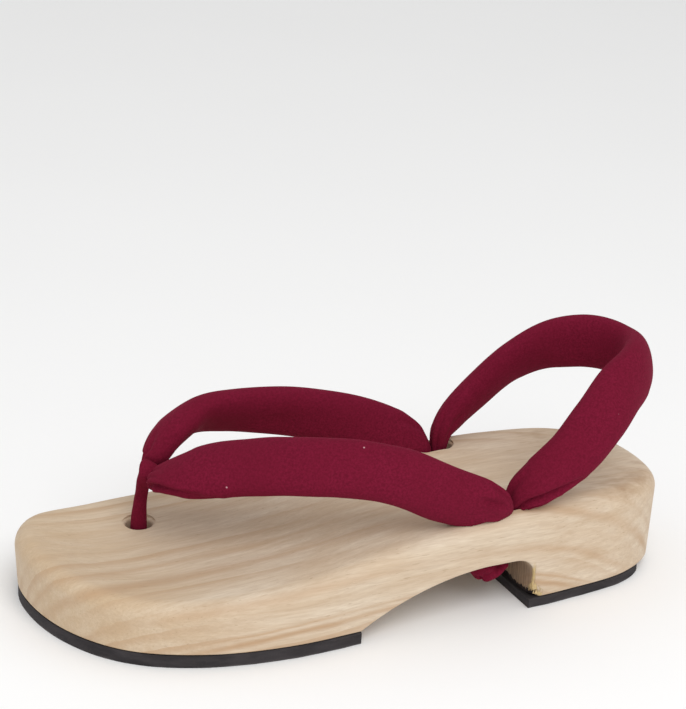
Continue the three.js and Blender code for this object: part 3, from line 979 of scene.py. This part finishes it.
def knot_grid(y, mirror, stations=220, around=28):
    """A tube along a trefoil path, scaled so that the whole knot fills its box. Small waves
    crimp the cloth, and the knot's two ends are pulled up against the wood."""
    t = np.linspace(0, 2 * math.pi, stations)
    x = np.sin(t) + 2 * np.sin(2 * t)
    path = np.stack([x, mirror * (np.cos(t) - 2 * np.cos(2 * t)), -np.sin(3 * t)], 1)
    room = np.array(KNOT_BOX) - KNOT_CORD
    path = path * room / np.ptp(path, axis=0)
    path -= (path.max(0) + path.min(0)) / 2
    path += (KNOT_X, y, KNOT_TOP - KNOT_BOX[2] / 2)
    along = np.gradient(path, axis=0)
    along[0] = along[-1] = path[1] - path[-2]
    along /= np.linalg.norm(along, axis=1, keepdims=True)
    side = np.cross(along, (0.3, 0.1, 1.0))
    side /= np.linalg.norm(side, axis=1, keepdims=True)
    up = np.cross(side, along)
    a = np.linspace(0, 2 * math.pi, around, endpoint=False)
    t = t[:, None]
    crimp = 1 + 0.06 * np.sin(9 * t + 2 * a) + 0.05 * np.sin(17 * t - a)
    ring = KNOT_CORD / 2 * crimp
    grid = path[:, None] + side[:, None] * (ring * np.cos(a))[..., None]
    grid += up[:, None] * (ring * np.sin(a) * 0.9)[..., None]
    pulled_up = 1 - 0.34 * smooth_step(KNOT_X - grid[..., 0], -3, 9)
    pulled_up -= 0.42 * smooth_step(grid[..., 0] - KNOT_X, 1, 9)
    grid[..., 2] = KNOT_TOP - (KNOT_TOP - grid[..., 2]) * pulled_up
    return grid


def closed_loop_mesh(name, grid):
    """A tube whose end meets its start: the last ring is the first one."""
    grid = grid.copy()
    grid[-1] = grid[0]
    rows, columns = grid.shape[:2]
    s = np.linspace(0, KNOT_LENGTH, rows)
    around = np.tile(np.linspace(0, math.pi * KNOT_CORD, columns + 1), (rows, 1))
    return mesh_from_grid(name, grid, grid_corner_uv(s, around))


outer_knot = closed_loop_mesh("outer_knot_tied", knot_grid(OUTER_HOLE_Y, 1))
inner_knot = closed_loop_mesh("inner_knot_tied", knot_grid(INNER_HOLE_Y, -1))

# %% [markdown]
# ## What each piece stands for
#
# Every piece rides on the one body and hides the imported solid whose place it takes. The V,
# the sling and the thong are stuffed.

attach(wooden_sole, "root")
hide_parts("wooden_sole")
soft_pieces = [
    (front_strap, "front_strap"), (toe_thong, "toe_thong"), (heel_sling, "heel_sling"),
    (outer_knot, "outer_strap_knot"), (inner_knot, "inner_strap_knot"),
]
for piece, node_name in soft_pieces:
    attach(piece, "root")
    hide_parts(node_name)
    shade(piece, 75)

# %% [markdown]
# ## Building a finish from nodes
#
# A finish is a small network: where a point is, in millimetres on the shoe, goes through
# noise and ramps and comes out as colour, roughness and bump. Painted images could do it, but
# a pattern in space needs no unwrapping and has no seams. Two helpers keep the networks
# short: one adds any node and joins its inputs, the other does arithmetic.

# %% Add nodes and do sums
def new_finish(name):
    """An empty finish: its node tree and its main shader."""
    finish = bpy.data.materials.new(name)
    finish.use_nodes = True
    return finish, finish.node_tree, finish.node_tree.nodes["Principled BSDF"]


def node(tree, kind, settings=(), **inputs):
    """Adds a node. Inputs are named, or i0, i1 and so on by their place, and each is a value
    or another node's output."""
    made = tree.nodes.new("ShaderNode" + kind)
    for key, value in dict(settings).items():
        setattr(made, key, value)
    for key, value in inputs.items():
        by_place = key[0] == "i" and key[1:].isdigit()
        socket = made.inputs[int(key[1:]) if by_place else key.replace("_", " ")]
        if isinstance(value, bpy.types.NodeSocket):
            tree.links.new(value, socket)
        else:
            socket.default_value = value
    return made


def calc(tree, operation, *values):
    """The result of one sum, product or other operation on numbers."""
    settings = {"operation": operation}
    return node(tree, "Math", settings, **{f"i{k}": v for k, v in enumerate(values)}).outputs[0]


def gap(tree, a, b):
    """How far apart two numbers are."""
    return calc(tree, "ABSOLUTE", calc(tree, "SUBTRACT", a, b))


def distance(tree, a, b):
    """Length of the longest side of a right triangle with sides a and b."""
    squares = calc(tree, "MULTIPLY", a, a), calc(tree, "MULTIPLY", b, b)
    return calc(tree, "SQRT", calc(tree, "ADD", *squares))


# %% Patterns, ramps and colours
def place_on_shoe(tree, scale):
    """Millimetres on the shoe times a scale for each axis."""
    where = node(tree, "TexCoord").outputs["Object"]
    scale = np.array(scale, float)
    return node(
        tree, "Mapping", Vector=where, Scale=tuple(scale / MM), Location=tuple(-ORIGIN / MM * scale)
    ).outputs[0]


def axes_on_shoe(tree):
    """x, y and z in millimetres on the shoe, as three outputs."""
    return node(tree, "SeparateXYZ", i0=place_on_shoe(tree, (1, 1, 1))).outputs


def noise(tree, scale, detail=2.0, roughness=0.5, offset=0.0):
    """Noise from 0 to 1 around 0.5, with waves for each axis of 1/scale millimetres."""
    at = place_on_shoe(tree, scale)
    if offset:
        at = node(tree, "VectorMath", {"operation": "ADD"}, i0=at, i1=(offset,) * 3).outputs[0]
    return node(
        tree, "TexNoise", Vector=at, Scale=1.0, Detail=detail, Roughness=roughness
    ).outputs["Fac"]


def between(tree, value, low, high, to_low=0.0, to_high=1.0):
    """Maps low..high softly to a new range and stops there."""
    settings = {"interpolation_type": "SMOOTHSTEP"}
    made = node(tree, "MapRange", settings, i0=value, i1=low, i2=high, i3=to_low, i4=to_high)
    return made.outputs[0]


def blend(tree, share, first, second, how="MIX"):
    """Mixes two colours, given as colours or outputs."""
    settings = {"data_type": "RGBA", "blend_type": how}
    return node(tree, "Mix", settings, i0=share, i6=first, i7=second).outputs[2]


def linear(red, green, blue):
    """A screen colour, 0 to 255, as the linear values that shaders use: divided by 12.92
    near black, and raised to the power 2.4 above."""
    c = np.array([red, green, blue]) / 255
    c = np.where(c <= 0.04045, c / 12.92, ((c + 0.055) / 1.055) ** 2.4)
    return (*c.tolist(), 1.0)


def bump(tree, height, strength, distance_mm, normal=None):
    """Turns a height into a bump of the given depth."""
    made = node(tree, "Bump", Height=height, Strength=strength, Distance=distance_mm * MM)
    if normal is not None:
        tree.links.new(normal, made.inputs["Normal"])
    return made.outputs[0]


# %% [markdown]
# ## Bare wood
#
# The sole is cut from a pale, light timber, so the same growth rings cross every face of it:
# straight lines on the footbed, long low arches on the walls, closed loops where the heel
# turns. A flat pattern of grain could not do that. Here the rings are real tubes round the
# tree's axis, which runs along the shoe, low on its outer side, and each face simply shows
# where it cuts them. The heel block's front is saw-cut end grain, torn, and darker partly as
# end grain is and partly by painted shade.

# %% Growth rings
TREE_Y = 75.0             # the tree's axis, beside and below the sole
TREE_Z = -45.0
TREE_DROP = 0.06          # it drops by this much for every millimetre towards the toe
GRAIN_TURN = 0.0035       # and the rings bend by this, times the distance squared
GRAIN_TURN_FROM = 95.0    # behind this x


def ring_radius(tree):
    """Distance from the tree's axis, bent by slow noise as real rings are."""
    axes = axes_on_shoe(tree)
    y = calc(tree, "SUBTRACT", axes[1], TREE_Y)
    z = calc(tree, "SUBTRACT", calc(tree, "MULTIPLY_ADD", axes[0], TREE_DROP, axes[2]), TREE_Z)
    radius = distance(tree, y, z)
    behind = calc(tree, "MAXIMUM", calc(tree, "SUBTRACT", GRAIN_TURN_FROM, axes[0]), 0.0)
    radius = calc(tree, "MULTIPLY_ADD", calc(tree, "MULTIPLY", behind, behind), GRAIN_TURN, radius)
    slow = calc(tree, "SUBTRACT", noise(tree, (0.011, 0.03, 0.03), 1.5), 0.5)
    quick = calc(tree, "SUBTRACT", noise(tree, (0.03, 0.11, 0.11), 2.0, 0.6, 40.0), 0.5)
    radius = calc(tree, "MULTIPLY_ADD", slow, 5.0, radius)
    return calc(tree, "MULTIPLY_ADD", quick, 2.4, radius), axes


def dark_band(tree, radius, middle, width):
    """1 on a ring of the given radius, falling softly to 0."""
    return between(tree, gap(tree, radius, middle), width, 0.0)


# %% The sawn front of the heel block
def torn_front(tree, axes):
    """Where the heel block's sawn front is, how close its outer corner is, and where glue
    has crept up at its foot."""
    saw = node(tree, "SeparateXYZ", i0=node(tree, "NewGeometry").outputs["Normal"]).outputs[0]
    near = gap(tree, axes[0], HEEL_FRONT)
    low = between(tree, axes[2], ARCH_TOP + 1, ARCH_TOP - 7)
    front = calc(tree, "MULTIPLY", between(tree, saw, 0.45, 0.75), between(tree, near, 5.0, 3.5))
    front = calc(tree, "MULTIPLY", front, low)
    side = gap(tree, axes[1], OUTER_CORNER_Y - 0.7)
    from_edge = distance(tree, near, side)
    ragged = calc(tree, "MULTIPLY_ADD", noise(tree, (0.9, 0.9, 0.5), 3, 0.7, 9.0), 6.0, -1.2)
    foot = between(tree, axes[2], WOOD_BOTTOM + 7, WOOD_BOTTOM + 1, 0.4, 1.9)
    corner = calc(tree, "SUBTRACT", calc(tree, "MULTIPLY", ragged, foot), from_edge)
    under_arch = between(tree, axes[2], ARCH_TOP - 1, ARCH_TOP - 5)
    corner = calc(tree, "MULTIPLY", between(tree, corner, -0.3, 0.5), under_arch)
    creep = noise(tree, (0.2, 0.55, 0.05), 3, 0.75, 21.0)
    creep = calc(tree, "MULTIPLY_ADD", creep, 5.6, WOOD_BOTTOM - 1.9)
    above = between(tree, calc(tree, "SUBTRACT", creep, axes[2]), -0.2, 0.3)
    glue = calc(tree, "MULTIPLY", front, above)
    return front, corner, glue


# %% Wood
RING = 6.5                # from one growth ring to the next
STRONG_RINGS = [          # radius, width, share of colour
    (70.9, 1.9, 1.0), (73.5, 1.0, 0.8), (84.2, 2.8, 0.55), (99.0, 3.6, 0.8), (107.0, 2.0, 0.5),
]


def wood_finish():
    """Even rings plus a few strong ones, then streaks, fibres and pores along the grain, a
    warmer, darker toe that is painted shade with some wear, a stain at the heel's rim, and the
    sawn front, dark partly as end grain and partly as painted shade."""
    finish, tree, shader = new_finish("bare pale wood")
    radius, axes = ring_radius(tree)
    uneven = calc(tree, "MULTIPLY_ADD", noise(tree, (0.004, 0.05, 0.05), 1, 0.5, 77.0), 7.0, radius)
    ring = calc(tree, "FRACT", calc(tree, "DIVIDE", uneven, RING))
    late = between(tree, ring, 0.35, 0.93)
    fall = between(tree, ring, 1.0, 0.94)
    ring = calc(tree, "MULTIPLY", late, fall)
    strength = between(tree, noise(tree, (0.006, 0.035, 0.035), 1, 0.5, 5.0), 0.35, 0.7, 0.12, 0.72)
    strength = calc(tree, "MULTIPLY", strength, between(tree, axes[0], 20, 80, 0.5, 1.0))
    patch = between(tree, noise(tree, (0.012, 0.05, 0.05), 2, 0.5, 61.0), 0.38, 0.6, 0.5, 1.0)
    tan = calc(tree, "MULTIPLY", ring, strength)
    for middle, width, share in STRONG_RINGS:
        band = calc(tree, "MULTIPLY", dark_band(tree, radius, middle, width), patch)
        tan = calc(tree, "MAXIMUM", tan, calc(tree, "MULTIPLY", band, share))
    fibres = noise(tree, (0.022, 0.85, 0.85), 4, 0.65, 13.0)
    streaks = noise(tree, (0.006, 0.22, 0.22), 3, 0.55, 33.0)
    clouds = noise(tree, (0.02, 0.045, 0.045), 2, 0.5, 50.0)

    streaked = between(tree, streaks, 0.3, 0.7)
    colour = blend(tree, streaked, linear(210, 190, 165), linear(223, 208, 187))
    colour = blend(tree, between(tree, clouds, 0.35, 0.7, 0.0, 0.55), colour, linear(204, 179, 149))
    # The toe is made darker and warmer: painted shade, with some wear from handling.
    toe = between(tree, axes[0], 185, 242, 0.0, 0.42)
    colour = blend(tree, toe, colour, linear(196, 166, 124))
    colour = blend(tree, calc(tree, "MULTIPLY", tan, 0.85), colour, linear(184, 148, 112))
    dark_fibres = between(tree, fibres, 0.25, 0.75, 0.36, 0.0)
    colour = blend(tree, dark_fibres, colour, linear(180, 154, 126))
    short = noise(tree, (0.14, 1.7, 1.7), 3, 0.6, 19.0)
    colour = blend(tree, between(tree, short, 0.35, 0.7, 0.0, 0.22), colour, linear(172, 142, 112))
    pores = between(tree, noise(tree, (0.09, 2.4, 2.4), 2, 0.5, 3.0), 0.66, 0.74, 0.0, 0.45)
    colour = blend(tree, pores, colour, linear(150, 118, 86))

    top = calc(tree, "MULTIPLY", between(tree, axes[0], 62, 20), between(tree, axes[2], 34, 39))
    stain = noise(tree, (0.05, 0.09, 0.06), 3, 0.6, 88.0)
    stain = calc(tree, "MULTIPLY", top, between(tree, stain, 0.46, 0.68, 0, 0.5))
    colour = blend(tree, stain, colour, linear(150, 112, 74))

    front, corner, glue = torn_front(tree, axes)
    saw = noise(tree, (0.3, 1.3, 0.06), 3, 0.7, 4.0)
    # The sawn front's dark colour is partly the end grain's own and partly painted shade.
    cut = blend(tree, between(tree, saw, 0.3, 0.7), linear(104, 82, 66), linear(168, 138, 110))
    colour = blend(tree, calc(tree, "MULTIPLY", front, 0.85), colour, cut)
    tufts = noise(tree, (1.1, 1.1, 0.4), 3, 0.7, 2.0)
    fluff = blend(tree, tufts, linear(140, 98, 50), linear(240, 220, 160))
    colour = blend(tree, calc(tree, "MULTIPLY", corner, 0.85), colour, fluff)
    colour = blend(tree, glue, colour, linear(36, 26, 26))
    tree.links.new(colour, shader.inputs["Base Color"])

    roughness = calc(tree, "MULTIPLY_ADD", fibres, 0.22, 0.44)
    roughness = calc(tree, "ADD", roughness, calc(tree, "MULTIPLY", front, 0.25))
    tree.links.new(roughness, shader.inputs["Roughness"])
    shader.inputs["Specular IOR Level"].default_value = 0.32
    torn = calc(tree, "MULTIPLY", calc(tree, "MAXIMUM", front, corner), saw)
    fine = bump(tree, fibres, 0.25, 0.12)
    rings = bump(tree, tan, 0.2, 0.1, fine)
    tree.links.new(bump(tree, torn, 0.8, 0.9, rings), shader.inputs["Normal"])
    return finish


def put_on(finish, *pieces):
    """Gives pieces one finish and no other."""
    for piece in pieces:
        piece.data.materials.clear()
        piece.data.materials.append(finish)
    print(finish.name, "of", len(finish.node_tree.nodes), "nodes, on", len(pieces), "pieces")


put_on(wood_finish(), wooden_sole)

# %% [markdown]
# ## Sheet rubber
#
# Dense sole rubber is charcoal rather than black, because dust sits in its skin. The trimmed
# edge shows upright knife marks, and the lowest rim is scuffed paler by the floor. The marks
# are only some tenths of a millimetre deep, so bump is enough for them.

# %% Rubber
def rubber_finish():
    """Charcoal in two shades, with grit, a scuffed foot and upright knife marks."""
    finish, tree, shader = new_finish("sheet rubber")
    axes = axes_on_shoe(tree)
    grit = noise(tree, (1.6, 1.6, 1.6), 3, 0.7)
    clouds = noise(tree, (0.07, 0.07, 0.3), 3, 0.6, 7.0)
    knife = noise(tree, (0.9, 0.9, 0.04), 2, 0.6, 15.0)
    colour = blend(tree, between(tree, clouds, 0.3, 0.7), linear(43, 40, 42), linear(59, 55, 57))
    colour = blend(tree, between(tree, grit, 0.55, 0.8, 0.0, 0.5), colour, linear(80, 76, 76))
    foot = between(tree, axes[2], 1.1, 0.1, 0.0, 0.5)
    scuff = calc(tree, "MULTIPLY", foot, between(tree, clouds, 0.4, 0.65))
    colour = blend(tree, scuff, colour, linear(100, 95, 94))
    tree.links.new(colour, shader.inputs["Base Color"])
    tree.links.new(between(tree, grit, 0.2, 0.8, 0.68, 0.9), shader.inputs["Roughness"])
    shader.inputs["Specular IOR Level"].default_value = 0.25
    marks = bump(tree, knife, 0.35, 0.2)
    tree.links.new(bump(tree, grit, 0.3, 0.1, marks), shader.inputs["Normal"])
    return finish


put_on(rubber_finish(), heel_pad, forefoot_pad)

# %% [markdown]
# ## The straps' cloth
#
# A soft, matt, finely woven cloth, a little brushed. It is cut on the bias, so that the tube
# bends easily. The weave follows the strap round its bends, so it is drawn on the strap's own
# coordinates, in millimetres along and round it, and turned to the slant of the threads.
# Brushed fibres catch light at the rim, which is what the sheen is for, and hold a few specks
# of lint.

# %% Cloth
THREAD_PAIR = 0.55        # width of two threads, one that goes over and one under
BIAS = math.radians(38)   # slant of the threads


def cloth_finish():
    """A weave of two crossed sines under a brushed nap, with specks of lint where a random
    cell of a Voronoi pattern has its middle."""
    finish, tree, shader = new_finish("matt maroon cloth")
    on_cloth = node(tree, "UVMap", {"uv_map": "cloth"}).outputs[0]
    pairs = 1 / THREAD_PAIR
    turned = node(
        tree, "Mapping", Vector=on_cloth, Rotation=(0, 0, BIAS), Scale=(pairs, pairs, 1)
    )
    u, v, _ = node(tree, "SeparateXYZ", i0=turned.outputs[0]).outputs
    over = calc(tree, "SINE", calc(tree, "MULTIPLY", u, math.pi * 2))
    under = calc(tree, "SINE", calc(tree, "MULTIPLY", v, math.pi * 2))
    weave = calc(tree, "MULTIPLY_ADD", calc(tree, "MULTIPLY", over, under), 0.5, 0.5)
    nap = noise(tree, (1.25, 1.25, 1.25), 3, 0.65)
    fuzz = noise(tree, (3.1, 3.1, 3.1), 2, 0.6, 31.0)
    clouds = noise(tree, (0.06, 0.06, 0.06), 2, 0.5, 17.0)

    colour = blend(tree, between(tree, nap, 0.3, 0.7), linear(100, 17, 39), linear(121, 25, 51))
    colour = blend(tree, between(tree, clouds, 0.35, 0.65, 0.0, 0.35), colour, linear(108, 20, 42))
    colour = blend(tree, calc(tree, "MULTIPLY", weave, 0.16), colour, linear(72, 10, 26))
    colour = blend(tree, between(tree, fuzz, 0.6, 0.8, 0.0, 0.22), colour, linear(160, 62, 86))
    cells = node(tree, "TexVoronoi", Vector=place_on_shoe(tree, (0.13, 0.13, 0.13)), Scale=1.0)
    speck = between(tree, cells.outputs["Distance"], 0.055, 0.03)
    pick = node(tree, "SeparateColor", i0=cells.outputs["Color"]).outputs[0]
    some = between(tree, pick, 0.72, 0.74)
    lint = calc(tree, "MULTIPLY", calc(tree, "MULTIPLY", speck, some), 0.7)
    colour = blend(tree, lint, colour, linear(214, 170, 176))
    tree.links.new(colour, shader.inputs["Base Color"])
    tree.links.new(between(tree, nap, 0.2, 0.8, 0.86, 0.97), shader.inputs["Roughness"])
    shader.inputs["Specular IOR Level"].default_value = 0.06
    shader.inputs["Sheen Weight"].default_value = 0.10
    shader.inputs["Sheen Roughness"].default_value = 0.45
    shader.inputs["Sheen Tint"].default_value = linear(240, 90, 125)
    threads = bump(tree, weave, 0.35, 0.12)
    tree.links.new(bump(tree, nap, 0.45, 0.16, threads), shader.inputs["Normal"])
    return finish


put_on(cloth_finish(), *[piece for piece, _ in soft_pieces])

# %% [markdown]
# ## Floor and light
#
# A pale, nearly white floor that runs past the edge of the view, an even white sky, and one
# large soft light from above on the outer side, so the straps' tops are lighter than their
# undersides and the shadows have no edges. A curved backdrop isn't needed, because the sky
# meets the floor in nearly its own shade.

# %% Floor
FLOOR_REACH = 6.0         # metres from the middle to each side
corners = [(-1, -1, 0), (1, -1, 0), (1, 1, 0), (-1, 1, 0)]
floor_mesh = bpy.data.meshes.new("floor")
floor_mesh.from_pydata([tuple(FLOOR_REACH * k for k in c) for c in corners], [], [(0, 1, 2, 3)])
floor = add_object("floor", floor_mesh)


def floor_finish():
    """Matt and nearly white, with wide, barely visible clouds."""
    finish, tree, shader = new_finish("pale floor")
    soft = noise(tree, (0.004, 0.004, 0.004), 2)
    shade_of_floor = blend(tree, soft, (0.955, 0.955, 0.952, 1), (0.975, 0.975, 0.972, 1))
    tree.links.new(shade_of_floor, shader.inputs["Base Color"])
    shader.inputs["Roughness"].default_value = 0.9
    shader.inputs["Specular IOR Level"].default_value = 0.1
    return finish


put_on(floor_finish(), floor)

# %% Sky and soft light
SKY = 0.74
SOFT_LIGHT_AT = (230.0, 1000.0, 1150.0)
SOFT_LIGHT_ON = (125.0, 0.0, 30.0)
SOFT_LIGHT_WATTS = 10.0
SOFT_LIGHT_SIZE = 0.9     # metres

world = bpy.data.worlds.new("even sky")
bpy.context.scene.world = world
world.use_nodes = True
world.node_tree.nodes["Background"].inputs["Color"].default_value = (1, 1, 1, 1)
world.node_tree.nodes["Background"].inputs["Strength"].default_value = SKY
bpy.context.scene.view_settings.view_transform = "Standard"

soft_light = bpy.data.lights.new("soft light", "AREA")
soft_light.energy = SOFT_LIGHT_WATTS
soft_light.size = SOFT_LIGHT_SIZE
lamp = add_object("soft light", soft_light)
lamp.location = in_frame(SOFT_LIGHT_AT)
lamp.rotation_euler = aim(SOFT_LIGHT_AT, SOFT_LIGHT_ON)
print("soft light", round(math.dist(SOFT_LIGHT_AT, SOFT_LIGHT_ON)), "mm away")
